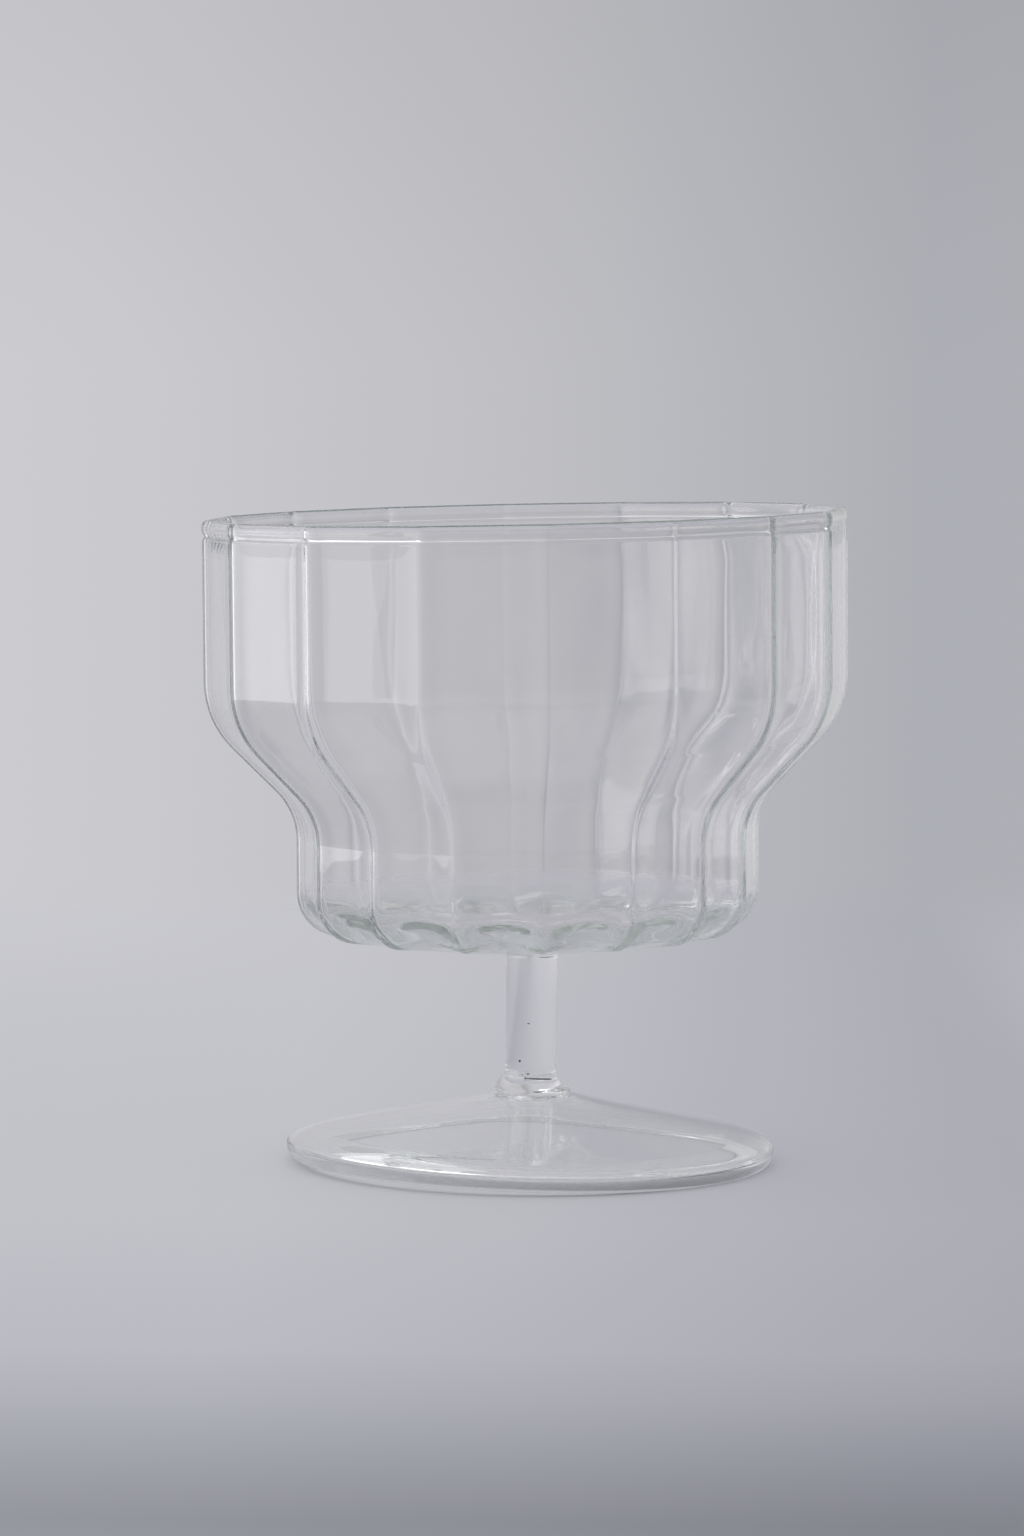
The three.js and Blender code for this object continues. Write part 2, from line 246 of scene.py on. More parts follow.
def spun_section(name, section, steps):
    """A closed body: its half section, drawn by extruding one vertex, is spun round the axis."""
    bpy.ops.object.select_all(action="DESELECT")
    bpy.ops.mesh.primitive_plane_add(size=1 * MM, location=(section[0][0], 0, section[0][1]))
    piece = bpy.context.object
    piece.name = piece.data.name = name
    bpy.ops.object.transform_apply(location=True, rotation=True, scale=True)
    bpy.ops.object.mode_set(mode="EDIT")
    bpy.ops.mesh.select_all(action="SELECT")
    bpy.ops.mesh.merge(type="CENTER")
    for (r0, z0), (r1, z1) in zip(section, section[1:]):
        bpy.ops.mesh.extrude_region_move(
            TRANSFORM_OT_translate={"value": (r1 - r0, 0, z1 - z0)}
        )
    bpy.ops.mesh.select_all(action="SELECT")
    bpy.ops.mesh.spin(steps=steps, angle=2 * math.pi, center=(0, 0, 0), axis=(0, 0, 1))
    bpy.ops.mesh.select_all(action="SELECT")
    bpy.ops.mesh.remove_doubles(threshold=2e-6)
    bpy.ops.mesh.normals_make_consistent(inside=False)
    bpy.ops.object.mode_set(mode="OBJECT")
    bpy.ops.object.shade_smooth()
    return piece


def move_vertices(piece, place):
    """Puts each vertex where place says, from its radius, its turn from -Y to +X and its height.

    The share of gathered, thick glass that place gives with it is kept for the material.
    """
    gathered = []
    for vertex in piece.data.vertices:
        x, y, z = vertex.co
        vertex.co, share_of_glass = place(math.hypot(x, y), math.atan2(x, -y), z)
        gathered.append(share_of_glass)
    piece.data.attributes.new("gathered", "FLOAT", "POINT").data.foreach_set("value", gathered)
    piece.data.update()


def at_angle(r, turn, z):
    return Vector((r * math.sin(turn), -r * math.cos(turn), z))


def settle(piece, material, slot=None, *nodes):
    """Gives a finished piece its material and its body, and hides the CAD nodes it stands for when
    a slot name comes with them.
    """
    piece.data.materials.clear()
    piece.data.materials.append(material)
    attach(piece, "root")
    if slot:
        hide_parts(*nodes)


# ---- The bowl ----

# The waves' seed on each part of the section. On the outside they only go inwards.
OUTSIDE, RIM, INSIDE = 0, 3, 7
# Radii between which the flutes and the grey-green cast set in on the underside, and the radius at
# which the heel's glass starts to gather.
FLUTES_SET_IN = (19 * MM, 30.5 * MM)
CAST_SETS_IN = (15 * MM, 25 * MM)
GATHER_START = 17 * MM
# Heights between which the floor's glass thins to the wall's, and between which the cast ends.
FLOOR_TO_WALL = (1.5 * MM, 7 * MM)
CAST_ENDS = (2.5 * MM, 6.5 * MM)
# How much of the flutes and of the ribs the rim takes. Its bead's start and end are in half turns.
RIM_FLUTE, RIM_RIB = 0.8, 0.6
BEAD_TURNS = (-0.36, 1.36)
BEAD_SIDES = 20
# How far below the rim the plain wall ends, so that the two run into each other.
WALL_TO_RIM = 0.6 * MM
# How strongly the vertices crowd round a rib, and how many steps there are from rib to rib.
RIB_CROWDING = 0.62
STEPS_PER_RIB = 28
# The waves: how many there are to a metre round the wall and up it, how much of them is left in the
# heel, the heights between which they set in, and where the wall is roughest, how widely and by
# how much more.
WAVES_ROUND, WAVES_UP = 70, 28
CALM_HEEL = 0.2
WAVES_SET_IN = (6 * MM, 15 * MM)
ROUGH_TURN, ROUGH_WIDTH, ROUGHER = math.radians(148), math.radians(22), 6
# Where the ribs have drifted most, and how widely.
DRIFT_TURN, DRIFT_WIDTH = math.radians(78), math.radians(27)

# A point of the bowl's section: its place, the way the flutes push it, how much of the flutes it
# takes, how much of the rib it shows, its depth of glass in the plain wall, its share of the heel's
# thicker glass, and its waves' seed.
Station = namedtuple("Station", "r z out_r out_z flute rib plain gather seed")


def soft_waves(r, turn, z, seed):
    """Slow random waves over the glass, drawn out up the wall, with finer ones on them."""
    place = Vector(
        (r * math.sin(turn) * WAVES_ROUND, r * math.cos(turn) * WAVES_ROUND, z * WAVES_UP + seed)
    )
    return noise.noise(place) + 0.35 * noise.noise(place * 3.1)


def bowl_meridian(bowl):
    """The outer line at the rib tips, with its outward normals, from the axis to the wall's top."""
    slope, turn = bowl.underside_slope, bowl.shoulder_slope
    heel_r = bowl.waist_radius - bowl.heel_arc
    heel_start_r = heel_r + bowl.heel_arc * math.sin(slope)
    heel_start_z = (heel_start_r - bowl.underside_flat) * math.tan(slope)
    line = [(r * bowl.underside_flat, 0, 0, -1) for r in (0, 0.1, 0.35, 0.7, 1)]
    for i in range(1, 12):
        r = lerp(bowl.underside_flat, heel_start_r, i / 12)
        z = (r - bowl.underside_flat) * math.tan(slope)
        line.append((r, z, math.sin(slope), -math.cos(slope)))
    heel_z = heel_start_z + bowl.heel_arc * math.cos(slope)
    line += arc(heel_r, heel_z, bowl.heel_arc, slope - math.pi / 2, 0, 14, 1)
    waist_r = bowl.waist_radius + bowl.waist_arc
    line += arc(waist_r, bowl.waist_height, bowl.waist_arc, math.pi, math.pi - turn, 10, -1)
    start_r, start_z = line[-1][:2]
    shoulder_r = bowl.mouth_radius - bowl.shoulder_arc
    end_r = shoulder_r + bowl.shoulder_arc * math.cos(turn)
    end_z = start_z + (end_r - start_r) / math.tan(turn)
    line += straight(
        (start_r, start_z), (end_r, end_z), 4, math.cos(turn), -math.sin(turn)
    )[:-1]
    shoulder_z = end_z + bowl.shoulder_arc * math.sin(turn)
    line += arc(shoulder_r, shoulder_z, bowl.shoulder_arc, -turn, 0, 12, 1)
    wall_end = (bowl.mouth_radius, bowl.wall_top - WALL_TO_RIM)
    line += straight((bowl.mouth_radius, shoulder_z), wall_end, 7, 1, 0)
    return line


def bowl_stations(bowl):
    """The whole half section: out along the outside, over the rim and back along the inside."""
    outer, rim, inner = [], [], []
    for r, z, out_r, out_z in bowl_meridian(bowl):
        underneath = out_z < -0.3
        flute = smoothstep(r, *FLUTES_SET_IN) if underneath else 1
        plain = lerp(bowl.floor, bowl.wall, smoothstep(z, *FLOOR_TO_WALL))
        gather = smoothstep(r, GATHER_START, bowl.waist_radius - bowl.heel_arc)
        gather *= 1 - smoothstep(z, bowl.gather_full, bowl.gather_end)
        outer.append(Station(r, z, out_r, out_z, flute, 1, 0, 0, OUTSIDE))
        inner.append(Station(r, z, out_r, out_z, flute, bowl.inner_rib, plain, gather, INSIDE))
    middle_r = bowl.mouth_radius + bowl.rim_proud - bowl.rim_width / 2
    middle_z = bowl.wall_top + bowl.rim_height / 2
    for i in range(BEAD_SIDES + 1):
        turn = lerp(*BEAD_TURNS, i / BEAD_SIDES) * math.pi
        r = middle_r + bowl.rim_width / 2 * math.cos(turn)
        z = middle_z + bowl.rim_height / 2 * math.sin(turn)
        rim.append(Station(r, z, 1, 0, RIM_FLUTE, RIM_RIB, 0, 0, RIM))
    return outer + rim + inner[::-1]


class CUP_OT_bowl(Operator):
    """Blow the fluted bowl, gather its heel and melt its rim"""

    bl_idname = "ice_cream_cup.bowl"
    bl_label = "Bowl"
    bl_options = {"REGISTER", "UNDO"}

    def execute(self, context):
        bowl, finish = context.scene.cup_bowl, context.scene.cup_glass
        stations = bowl_stations(bowl)
        section = [(s.r - s.out_r * s.plain, s.z - s.out_z * s.plain) for s in stations]
        piece = spun_section("cup_bowl", section, STEPS_PER_RIB * bowl.ribs)
        finder = kdtree.KDTree(len(section))
        for i, (r, z) in enumerate(section):
            finder.insert((r, 0, z), i)
        finder.balance()
        pitch = 2 * math.pi / bowl.ribs

        def place(r, turn, z):
            """Presses the flutes, the gathered heel and the waves into the round bowl."""
            station = stations[finder.find((r, 0, z))[1]]
            pitches = (turn - bowl.first_rib) / pitch
            nearest = round(pitches)
            off_rib = (pitches - nearest) * pitch
            crowd = RIB_CROWDING * math.sin(2 * math.pi * off_rib / pitch)
            off_rib -= crowd * pitch / (2 * math.pi)
            turn = bowl.first_rib + nearest * pitch + off_rib
            off_rib = abs(off_rib)

            chord = math.cos(pitch / 2) / math.cos(pitch / 2 - off_rib)
            crest = bell(off_rib * station.r, 0, bowl.rib_half_width)
            drop = bowl.panel_flatness * station.r * (1 - chord)
            drop = station.flute * (drop + bowl.rib_height * (1 - station.rib * crest))
            panel = 0.5 - 0.5 * math.cos(2 * math.pi * off_rib / pitch)
            heel = lerp(bowl.heel_at_rib, bowl.heel_at_panel, panel)
            depth = drop + lerp(station.plain, heel, station.gather)

            calm = lerp(CALM_HEEL, 1, smoothstep(station.z, *WAVES_SET_IN))
            rough = 1 + ROUGHER * bell(turn, ROUGH_TURN, ROUGH_WIDTH)
            waves = finish.waviness * station.flute * calm * rough
            waves *= soft_waves(station.r, turn, station.z, station.seed)
            depth += abs(waves) if station.seed == OUTSIDE else waves

            radius = station.r - station.out_r * depth if station.r else 0
            drift = bowl.rib_drift * bell(turn, DRIFT_TURN, DRIFT_WIDTH)
            point = at_angle(radius, turn - drift, station.z - station.out_z * depth)
            point.z += math.tan(bowl.slant) * point.x * point.z / bowl.wall_top
            cast = smoothstep(station.r, *CAST_SETS_IN) * (1 - smoothstep(station.z, *CAST_ENDS))
            return point, cast

        move_vertices(piece, place)
        piece.data.transform(
            Matrix.Translation((context.scene.cup_stem.axis_x - bowl.offset, 0, bowl.base_height))
            @ Matrix.Rotation(-bowl.lean, 4, "Y")
        )
        glass = clear_glass(
            "bowl glass", finish, finish.bowl_tint, finish.heel_tint, finish.heel_shadow,
            finish.bowl_density,
        )
        settle(piece, glass, "bowl_glass", "bowl", "rim_bead")
        return {"FINISHED"}


# ---- The stem and its flaws ----

# The air left, on the axis, between the stem and the pieces above and below it.
CLEARANCE = 0.03 * MM
# How much fuller the collar is on its left and how much leaner on its right, in millimetres.
COLLAR_FULLER, COLLAR_LEANER = 0.4, 0.25
# The stem's top slopes down to the right by the bowl's lean, and on its right half by this too.
TOP_SLOPE = 0.03

# Flaws in the stem, in millimetres: place across from the axis, height, half width and half height.
# The first two are the thin gaps that the welds left in the collar and under the bowl. Each flaw is
# a
# dark solid: its colour is painted shade for the darkness that air gaps and bubbles in glass show.
FLAWS = (
    (0.95, 11.35, 1.5, 0.09),
    (1.6, 29.0, 1.0, 0.1),
    (-1.2, 14.2, 0.13, 0.15),
    (-0.3, 12.25, 0.18, 0.11),
    (-0.62, 11.35, 0.14, 0.14),
    (-0.95, 12.0, 0.1, 0.09),
    (-0.3, 19.5, 0.14, 0.07),
)
# How far in front of the stem's axis the flaws lie.
FLAWS_FORWARD = 0.8 * MM


class CUP_OT_stem(Operator):
    """Draw the solid stem, with its seal under the bowl and its collar on the foot"""

    bl_idname = "ice_cream_cup.stem"
    bl_label = "Stem"
    bl_options = {"REGISTER", "UNDO"}

    def execute(self, context):
        bowl, stem, foot = context.scene.cup_bowl, context.scene.cup_stem, context.scene.cup_foot
        finish = context.scene.cup_glass
        top = bowl.base_height - CLEARANCE
        start = top - stem.seal_height
        low = foot.apex + CLEARANCE
        skirt = stem.collar_radius
        # Along the collar's underside, round its thick skirt, in along the flare and up to the rod.
        section = [(0, low), (0.5 * skirt, low)]
        section += bezier(
            section[-1],
            (0.8 * skirt, low),
            (skirt - 0.05 * MM, low),
            (skirt, low + 0.3 * MM),
            8,
        )
        flare = (lerp(skirt, stem.bottom_radius, 0.6), low + 0.42 * stem.collar_height)
        section += bezier(
            section[-1],
            (skirt + 0.02 * MM, low + 0.62 * MM),
            (flare[0] + 0.5 * MM, flare[1] - 0.62 * MM),
            flare,
            10,
        )
        section += bezier(
            section[-1],
            (flare[0] - 0.4 * MM, flare[1] + 0.5 * MM),
            (stem.bottom_radius + 0.02 * MM, low + 0.75 * stem.collar_height),
            (stem.bottom_radius, low + stem.collar_height),
            8,
        )
        section += straight(section[-1], (stem.top_radius, start), 16)[:-1]
        for i in range(9):
            t = i / 8
            section.append((lerp(stem.top_radius, stem.seal_radius, t**3), lerp(start, top, t)))
        section += [(0.6 * stem.seal_radius, top), (0, top)]
        piece = spun_section("cup_stem", section, 128)

        lean = math.tan(bowl.lean)

        def place(r, turn, z):
            """Slopes the top down to the right, and sets the collar a little to the left.

            The top's slope runs against the bowl's, whose underside rises to the right. The top
            sinks 0.09 mm into the bowl at the left and leaves a gap of 0.29 mm at the right.
            """
            point = at_angle(r, turn, z)
            slope = lean * point.x + TOP_SLOPE * max(point.x, 0)
            point.z -= slope * smoothstep(z, start, top)
            climb = (z - low) / stem.collar_height
            if 0 < climb < 1:
                right = math.sin(turn)
                fuller = COLLAR_FULLER * max(-right, 0) - COLLAR_LEANER * max(right, 0)
                point = at_angle(r + fuller * MM * math.sin(math.pi * climb) ** 2, turn, z)
            return point, 0

        move_vertices(piece, place)
        piece.data.transform(Matrix.Translation((stem.axis_x, 0, 0)))
        glass = clear_glass(
            "stem glass", finish, finish.stem_tint, finish.edge_tint, finish.edge_shadow,
            finish.stem_density,
        )
        settle(piece, glass, "stem_glass", "stem", "bowl_stem_seal", "foot_collar")
        return {"FINISHED"}


class CUP_OT_flaws(Operator):
    """Leave the small flaws of the welds inside the stem, as dark solids in painted shade"""

    bl_idname = "ice_cream_cup.flaws"
    bl_label = "Flaws"
    bl_options = {"REGISTER", "UNDO"}

    def execute(self, context):
        bpy.ops.object.select_all(action="DESELECT")
        flaws = []
        for x, z, half_width, half_height in FLAWS:
            bpy.ops.mesh.primitive_uv_sphere_add(
                segments=24,
                ring_count=12,
                radius=1,
                location=(x * MM, -FLAWS_FORWARD, z * MM),
                scale=(half_width * MM, 0.5 * half_width * MM, half_height * MM),
            )
            flaws.append(bpy.context.object)
            bpy.ops.object.transform_apply(location=True, rotation=True, scale=True)
        for flaw in flaws:
            flaw.select_set(True)
        bpy.ops.object.join()
        bpy.ops.object.shade_smooth()
        piece = bpy.context.object
        piece.name = piece.data.name = "cup_flaws"
        piece.data.transform(Matrix.Translation((context.scene.cup_stem.axis_x, 0, 0)))
        # The flaws' dark colour is painted shade.
        settle(piece, painted_flaw_shade())
        return {"FINISHED"}


# ---- The foot ----

# How widely the edge is raised.
LIFT_WIDTH = math.radians(52)
# Ranges over which the standing ring's darker glass sets in and ends: in radius, in height, and in
# the radius at which a line that climbs outwards at CONTACT_SLOPE leaves the table.
CONTACT_SETS_IN = (29.5 * MM, 31.3 * MM)
CONTACT_HEIGHTS = (0.3 * MM, 2.4 * MM)
CONTACT_ENDS = (32.1 * MM, 32.4 * MM)
CONTACT_SLOPE = 0.64
# How many points of the edge's outside the inner surface follows.
FOLLOWED = 23


class CUP_OT_foot(Operator):
    """Spin the hollow foot and roll its edge"""

    bl_idname = "ice_cream_cup.foot"
    bl_label = "Foot"
    bl_options = {"REGISTER", "UNDO"}

    def execute(self, context):
        foot, stem, finish = context.scene.cup_foot, context.scene.cup_stem, context.scene.cup_glass
        belly = foot.edge_height
        collar = stem.collar_radius
        outer = [(0, foot.apex), (0.6 * collar, foot.apex), (collar, foot.apex)]
        slope = math.tan(foot.cone_slope)
        cone_start = (foot.cone_start, foot.apex - foot.shoulder_drop)
        cone_end = (foot.cone_end, cone_start[1] - (foot.cone_end - foot.cone_start) * slope)
        outer += bezier(
            outer[-1],
            (collar + 2.4 * MM, foot.apex - 0.65 * MM),
            (cone_start[0] - 3 * MM, cone_start[1] + 3 * MM * slope),
            cone_start,
            12,
        )
        outer += straight(cone_start, cone_end, 12)
        shoulder = bezier(
            cone_end,
            (cone_end[0] + foot.shoulder_reach, cone_end[1] - foot.shoulder_reach * slope),
            (foot.radius, belly + 0.58 * MM),
            (foot.radius, belly),
            24,
        )
        followed = outer + shoulder[:FOLLOWED]
        inner = []
        for i, (r, z) in enumerate(followed):
            before, after = followed[max(i - 1, 0)], (outer + shoulder)[i + 1]
            along = Vector((after[0] - before[0], after[1] - before[1])).normalized()
            inner.append((max(r + along.y * foot.thickness, 0), z - along.x * foot.thickness))
        inner[0] = (0, inner[0][1])
        # Down round the rolled edge, in along the standing ring and back up the inside.
        section = outer + shoulder
        section += bezier(
            section[-1],
            (foot.radius, 0.5 * belly),
            (foot.radius - 0.5 * MM, 0),
            (foot.ring_outer, 0),
            14,
        )
        section += [(lerp(foot.ring_outer, foot.ring_inner, t), 0) for t in (0.25, 0.5, 1)]
        section += bezier(
            section[-1],
            (foot.ring_inner - 0.37 * MM, 0.3 * MM),
            (inner[-1][0] + 0.04 * MM, inner[-1][1] - 0.6 * MM),
            inner[-1],
            14,
        )
        section += inner[-2::-1]
        piece = spun_section("cup_foot", section, 192)

        def place(r, turn, z):
            """Raises the edge off the table at its front left, and marks the standing ring."""
            raised = bell(turn, foot.lift_turn, LIFT_WIDTH)
            raised *= foot.lift * smoothstep(r, foot.cone_start, foot.radius)
            contact = smoothstep(r, *CONTACT_SETS_IN) * (1 - smoothstep(z, *CONTACT_HEIGHTS))
            contact *= 1 - smoothstep(r - CONTACT_SLOPE * z, *CONTACT_ENDS)
            return at_angle(r, turn, z + raised), contact

        move_vertices(piece, place)
        piece.data.transform(Matrix.Translation((stem.axis_x, 0, 0)))
        glass = clear_glass(
            "foot glass", finish, finish.foot_tint, finish.edge_tint, finish.contact_shadow,
            finish.foot_density,
        )
        settle(piece, glass, "foot_glass", "foot", "foot_edge_bead")
        return {"FINISHED"}


# ---- Materials ----


def add_node(tree, kind, inputs=None, **settings):
    """Adds a node with its settings, and gives each named input its value or the link to it."""
    node = tree.nodes.new("ShaderNode" + kind)
    for name, value in settings.items():
        setattr(node, name, value)
    for name, value in (inputs or {}).items():
        if isinstance(value, NodeSocket):
            tree.links.new(value, node.inputs[name])
        else:
            node.inputs[name].default_value = value
    return node


def new_material(name):
    material = bpy.data.materials.new(name)
    material.use_nodes = True
    tree = material.node_tree
    tree.nodes.clear()
    return material, tree, add_node(tree, "OutputMaterial")


def mixed(tree, factor, a, b, blend="MIX"):
    """A colour between a and b."""
    inputs = {"Factor": factor, "A": a, "B": b}
    return add_node(tree, "Mix", inputs, data_type="RGBA", blend_type=blend).outputs["Result"]


def ramp(tree, factor, stops, interpolation):
    """A colour ramp. A stop is its position and its colour, or one level for a grey."""
    node = add_node(tree, "ValToRGB", {"Fac": factor})
    node.color_ramp.interpolation = interpolation
    elements = node.color_ramp.elements
    while len(elements) < len(stops):
        elements.new(1)
    for element, (position, value) in zip(elements, stops):
        element.position = position
        element.color = (*value, 1) if isinstance(value, tuple) else (value, value, value, 1)
    return node.outputs["Color"]


def position_in(tree, value, low, high):
    """How far a value is from low to high, from 0 to 1."""
    inputs = {"Value": value, "From Min": low, "From Max": high}
    return add_node(tree, "MapRange", inputs).outputs["Result"]


def gathered_glass():
    """A node group: where glass gathers it takes a cast, a little uneven as drawn by hand."""
    if "Gathered glass" in bpy.data.node_groups:
        return bpy.data.node_groups["Gathered glass"]
    group = bpy.data.node_groups.new("Gathered glass", "ShaderNodeTree")
    for name in ("Thin", "Deep"):
        group.interface.new_socket(name, in_out="INPUT", socket_type="NodeSocketColor")
    group.interface.new_socket("Glass", in_out="OUTPUT", socket_type="NodeSocketColor")
    source = group.nodes.new("NodeGroupInput")
    result = group.nodes.new("NodeGroupOutput")
    gathered = add_node(group, "Attribute", attribute_name="gathered").outputs["Fac"]
    place = add_node(group, "TexCoord").outputs["Object"]
    drawn = add_node(group, "Mapping", {"Vector": place, "Scale": (1, 1, 0.35)}).outputs["Vector"]
    streaks = add_node(group, "TexNoise", {"Vector": drawn, "Scale": 260, "Detail": 3})
    uneven = add_node(
        group,
        "MapRange",
        {
            "Value": streaks.outputs["Fac"],
            "From Min": 0.3,
            "From Max": 0.7,
            "To Min": 0.5,
            "To Max": 1.3,
        },
    )
    depth = add_node(
        group, "Math", {0: gathered, 1: uneven.outputs["Result"]}, operation="MULTIPLY",
        use_clamp=True,
    )
    glass = mixed(group, depth.outputs["Value"], source.outputs["Thin"], source.outputs["Deep"])
    group.links.new(glass, result.inputs["Glass"])
    return group


def clear_glass(name, finish, tint, deep_tint, deep_shadow, density):
    """Borosilicate glass, greyer and greener where it gathers. Light passes through its shadow."""
    material, tree, output = new_material(name)
    casts = add_node(
        tree, "Group", {"Thin": tint, "Deep": deep_tint}, node_tree=gathered_glass()
    )
    glass = add_node(
        tree,
        "BsdfPrincipled",
        {
            "Base Color": casts.outputs["Glass"],
            "Roughness": 0,
            "IOR": finish.ior,
            "Transmission Weight": 1,
        },
    )
    # Light on its way to a lamp or to a dull surface goes straight through, a little dimmed.
    rays = add_node(tree, "LightPath").outputs
    lit_through = add_node(
        tree, "Math", {0: rays["Is Shadow Ray"], 1: rays["Is Diffuse Ray"]}, operation="MAXIMUM"
    )
    gathered = add_node(tree, "Attribute", attribute_name="gathered").outputs["Fac"]
    cast = mixed(tree, gathered, finish.shadow, deep_shadow)
    edge = add_node(tree, "LayerWeight", {"Blend": 0.25}).outputs["Facing"]
    clear = add_node(
        tree, "BsdfTransparent", {"Color": mixed(tree, edge, cast, finish.edge_shadow)}
    )
    both = add_node(
        tree,
        "MixShader",
        {
            "Fac": lit_through.outputs["Value"],
            1: glass.outputs["BSDF"],
            2: clear.outputs["BSDF"],
        },
    )
    depth = add_node(
        tree, "VolumeAbsorption", {"Color": finish.depth_colour, "Density": density}
    )
    tree.links.new(both.outputs["Shader"], output.inputs["Surface"])
    tree.links.new(depth.outputs["Volume"], output.inputs["Volume"])
    return material


def painted_flaw_shade():
    """Painted shade for the flaws: a dark, dull surface, a little uneven from near black to dark
    grey, for the darkness that air gaps and bubbles in glass show.
    """
    material, tree, output = new_material("painted flaw shade")
    place = add_node(tree, "TexCoord").outputs["Object"]
    # Painted shade for the gaps and bubbles, patchy from near black to dark grey.
    uneven_shade = add_node(tree, "TexNoise", {"Vector": place, "Scale": 2600}).outputs["Fac"]
    painted_deep_shade, painted_pale_shade = (0.008, 0.008, 0.009), (0.05, 0.05, 0.052)
    cast = ramp(tree, uneven_shade, [(0.35, painted_deep_shade), (0.75, painted_pale_shade)], "EASE")
    shade = add_node(tree, "BsdfPrincipled", {"Base Color": cast, "Roughness": 0.5})
    tree.links.new(shade.outputs["BSDF"], output.inputs["Surface"])
    return material


# ---- The stage ----

# Casts of the surroundings.
NEUTRAL = (1, 1, 1.05)
COOL = (0.97, 1, 1.09)
FAINT = (1, 1, 1.03)
# The surroundings: the turn from straight behind the cup towards +X, the level and the cast.
SURROUNDINGS = (
    (-180, 0.55, NEUTRAL),
    (-155, 0.65, NEUTRAL),
    (-130, 0.82, NEUTRAL),
    (-100, 0.88, NEUTRAL),
    (-70, 0.88, NEUTRAL),
    (-50, 0.84, NEUTRAL),
    (-34, 0.71, NEUTRAL),
    (-24, 0.62, NEUTRAL),
    (-5, 0.605, NEUTRAL),
    (0, 0.525, NEUTRAL),
    (5, 0.41, COOL),
    (9, 0.56, FAINT),
    (20, 0.60, FAINT),
    (32, 0.60, FAINT),
    (41, 0.56, FAINT),
    (51, 0.43, NEUTRAL),
    (90, 0.38, NEUTRAL),
    (120, 0.42, NEUTRAL),
    (180, 0.55, NEUTRAL),
)
# From straight down at 0 to straight up at 1: how much of the colour of the poles there is, and how
# strong the surroundings are.
POLES = ((0, 1), (0.2, 0), (0.8, 0), (0.97, 1))
STRENGTH = ((0, 1), (0.497, 1), (0.53, 0.92), (0.7, 0.92), (1, 1))
POLE_COLOUR = (0.86, 0.86, 0.89, 1)

# The floor's colour by place in metres, painted light and shade: across the picture it is lighter
# at the left and darkest a little right of the cup, and it darkens towards the camera.
FLOOR_PAINTED_ACROSS = (
    (-0.11, (0.735, 0.737, 0.765)),
    (-0.035, (0.735, 0.737, 0.765)),
    (0.0, (0.685, 0.685, 0.715)),
    (0.035, (0.615, 0.615, 0.655)),
    (0.07, (0.56, 0.56, 0.605)),
    (0.08, (0.565, 0.565, 0.605)),
    (0.1, (0.645, 0.645, 0.68)),
    (0.15, (0.645, 0.645, 0.68)),
)
FLOOR_PAINTED_SHADE_NEAR = (
    (-0.27, (0.36, 0.38, 0.40)),
    (-0.24, (0.405, 0.425, 0.45)),
    (-0.229, (0.49, 0.50, 0.53)),
    (-0.204, (0.66, 0.675, 0.70)),
    (-0.177, (0.82, 0.83, 0.84)),
    (-0.147, (0.93, 0.935, 0.94)),
    (-0.05, (1, 1, 1)),
)
ACROSS_RANGE = (-0.2, 0.2)
NEAR_RANGE = (-0.3, 0.1)
FLOOR_RADIUS = 1.2
FLOOR_DEPTH = 0.05 * MM
# The floor fades into the surroundings between these distances from the cup.
FADE_START, FADE_END = 0.16, 0.45
# Light goes many times to and fro in clear glass before it leaves it.
GLASS_BOUNCES = 160


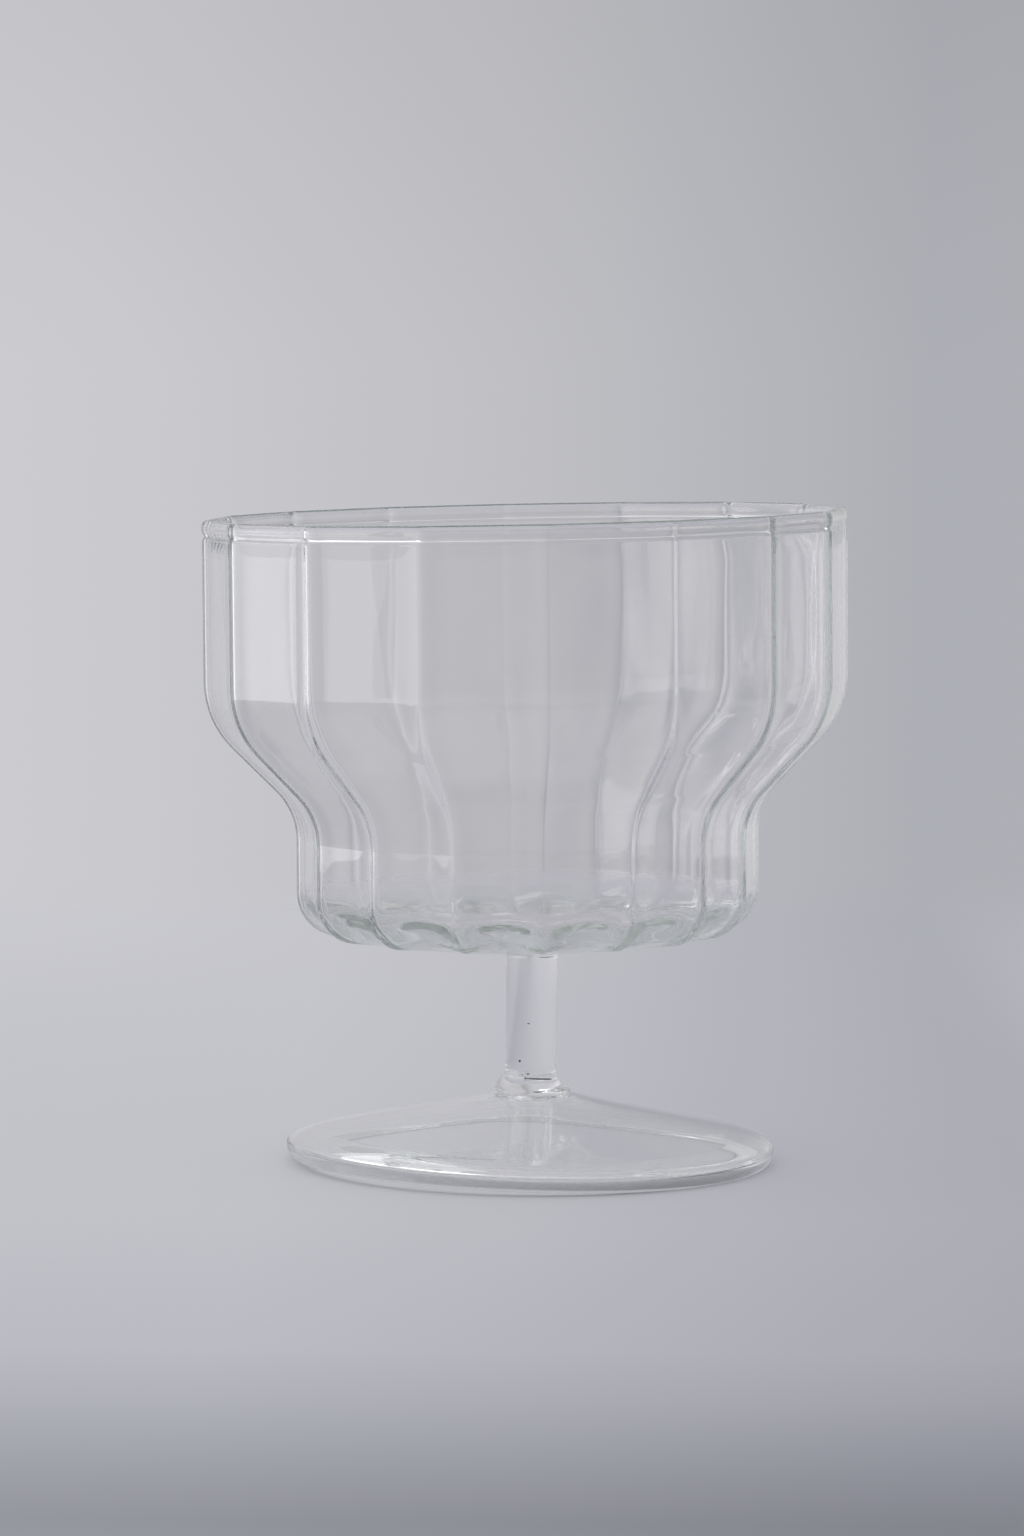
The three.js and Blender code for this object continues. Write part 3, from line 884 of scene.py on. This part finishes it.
class CUP_OT_stage(Operator):
    """Lay the pale floor and set the surroundings, the lamps and the camera"""

    bl_idname = "ice_cream_cup.stage"
    bl_label = "Stage"
    bl_options = {"REGISTER", "UNDO"}

    def execute(self, context):
        scene, stage = context.scene, context.scene.cup_stage
        scene.view_settings.view_transform = "Standard"
        scene.cycles.max_bounces = GLASS_BOUNCES
        scene.cycles.transmission_bounces = GLASS_BOUNCES
        scene.cycles.glossy_bounces = GLASS_BOUNCES
        scene.cycles.transparent_max_bounces = 24
        self.surroundings(scene)
        self.floor()
        softbox = self.lamp(
            scene, "softbox", -82, 0.152, 0.31, (0.30, 0.30), stage.softbox, (0, 0, 0.152)
        )
        softbox.visible_diffuse = False
        self.lamp(
            scene, "top_light", -155, 0.62, 0.57, (0.30, 0.36), stage.top_light, (0, 0, 0.03)
        )
        self.camera(scene, stage)
        return {"FINISHED"}

    def surroundings(self, scene):
        world = bpy.data.worlds.new("studio")
        scene.world = world
        world.use_nodes = True
        tree = world.node_tree
        tree.nodes.clear()
        direction = add_node(tree, "TexCoord").outputs["Generated"]
        split = add_node(tree, "SeparateXYZ", {"Vector": direction}).outputs
        turn = add_node(tree, "Math", {0: split["X"], 1: split["Y"]}, operation="ARCTAN2")
        around = position_in(tree, turn.outputs["Value"], -math.pi, math.pi)
        stops = [
            ((degrees + 180) / 360, tuple(level * k for k in cast))
            for degrees, level, cast in SURROUNDINGS
        ]
        sides = ramp(tree, around, stops, "LINEAR")
        up = position_in(tree, split["Z"], -1, 1)
        poles = ramp(tree, up, POLES, "EASE")
        shade = add_node(
            tree,
            "Background",
            {
                "Color": mixed(tree, poles, sides, POLE_COLOUR),
                "Strength": ramp(tree, up, STRENGTH, "LINEAR"),
            },
        )
        output = add_node(tree, "OutputWorld")
        tree.links.new(shade.outputs["Background"], output.inputs["Surface"])

    def floor(self):
        bpy.ops.object.select_all(action="DESELECT")
        bpy.ops.mesh.primitive_circle_add(
            vertices=96, radius=FLOOR_RADIUS, fill_type="NGON", location=(0, 0, -FLOOR_DEPTH)
        )
        floor = bpy.context.object
        bpy.ops.object.transform_apply(location=True)
        floor.name = "stage_floor"
        material, tree, output = new_material("pale paper")
        place = add_node(tree, "TexCoord").outputs["Object"]
        split = add_node(tree, "SeparateXYZ", {"Vector": place}).outputs
        # Painted light and shade on the floor: one ramp across the picture, one towards the camera.
        painted_ramps = []
        for axis, painted_levels, (low, high) in (
            ("X", FLOOR_PAINTED_ACROSS, ACROSS_RANGE),
            ("Y", FLOOR_PAINTED_SHADE_NEAR, NEAR_RANGE),
        ):
            stops = [((at - low) / (high - low), tint) for at, tint in painted_levels]
            painted_ramps.append(ramp(tree, position_in(tree, split[axis], low, high), stops, "LINEAR"))
        distance = add_node(tree, "VectorMath", {0: place}, operation="LENGTH")
        fade = add_node(
            tree,
            "MapRange",
            {
                "Value": distance.outputs["Value"],
                "From Min": FADE_START,
                "From Max": FADE_END,
                "To Min": 1,
                "To Max": 0,
            },
            interpolation_type="SMOOTHSTEP",
        )
        # The painted light and shade are multiplied into the floor's colour.
        shade = add_node(
            tree,
            "BsdfPrincipled",
            {
                "Base Color": mixed(tree, 1, *painted_ramps, "MULTIPLY"),
                "Roughness": 0.9,
                "Specular IOR Level": 0.1,
                "Alpha": fade.outputs["Result"],
            },
        )
        tree.links.new(shade.outputs["BSDF"], output.inputs["Surface"])
        floor.data.materials.append(material)

    def lamp(self, scene, name, degrees, height, distance, size, radiance, target):
        """An area lamp at a turn from -Y towards +X. Radiance is how bright the cup sees it."""
        turn = math.radians(degrees)
        place = Vector((distance * math.sin(turn), -distance * math.cos(turn), height))
        light = bpy.data.lights.new(name, "AREA")
        light.shape = "RECTANGLE"
        light.size, light.size_y = size
        light.energy = radiance * math.pi * size[0] * size[1]
        lamp = bpy.data.objects.new(name, light)
        scene.collection.objects.link(lamp)
        lamp.location = place
        lamp.rotation_euler = (Vector(target) - place).to_track_quat("-Z", "Y").to_euler()
        lamp.visible_camera = False
        return lamp

    def camera(self, scene, stage):
        camera = bpy.data.cameras.new("camera")
        camera.lens = stage.lens
        camera.sensor_width = 36
        camera.clip_start = 0.01
        view = bpy.data.objects.new("camera", camera)
        scene.collection.objects.link(view)
        turn = Matrix.Rotation(math.pi / 2 - stage.camera_pitch, 4, "X")
        roll = Matrix.Rotation(stage.camera_roll, 4, "Z")
        view.matrix_world = Matrix.Translation(stage.camera_place) @ turn @ roll
        scene.camera = view


# ---- The add-on ----


class CUP_PT_panel(Panel):
    """A button for each piece and for the stage, and all sizes and colours"""

    bl_label = "Ice Cream Cup"
    bl_idname = "CUP_PT_panel"
    bl_space_type = "VIEW_3D"
    bl_region_type = "UI"
    bl_category = "Cup"

    def draw(self, context):
        for operator in OPERATORS:
            self.layout.operator(operator.bl_idname)
        for group in GROUPS:
            box = self.layout.box()
            box.label(text=group.replace("_", " ").capitalize())
            settings = getattr(context.scene, group)
            for name in settings.bl_rna.properties.keys():
                if name not in {"rna_type", "name"}:
                    box.prop(settings, name)


GROUPS = {
    "cup_bowl": BowlSizes,
    "cup_stem": StemSizes,
    "cup_foot": FootSizes,
    "cup_glass": GlassFinish,
    "cup_stage": StageSettings,
}
OPERATORS = (CUP_OT_foot, CUP_OT_stem, CUP_OT_bowl, CUP_OT_flaws, CUP_OT_stage)


def register():
    for name, group in GROUPS.items():
        bpy.utils.register_class(group)
        setattr(bpy.types.Scene, name, PointerProperty(type=group))
    for operator in OPERATORS:
        bpy.utils.register_class(operator)
    bpy.utils.register_class(CUP_PT_panel)


def unregister():
    bpy.utils.unregister_class(CUP_PT_panel)
    for operator in reversed(OPERATORS):
        bpy.utils.unregister_class(operator)
    for name, group in reversed(GROUPS.items()):
        delattr(bpy.types.Scene, name)
        bpy.utils.unregister_class(group)


def main():
    register()
    bpy.ops.ice_cream_cup.foot()
    bpy.ops.ice_cream_cup.stem()
    bpy.ops.ice_cream_cup.bowl()
    bpy.ops.ice_cream_cup.flaws()
    bpy.ops.ice_cream_cup.stage()


if __name__ == "__main__":
    main()
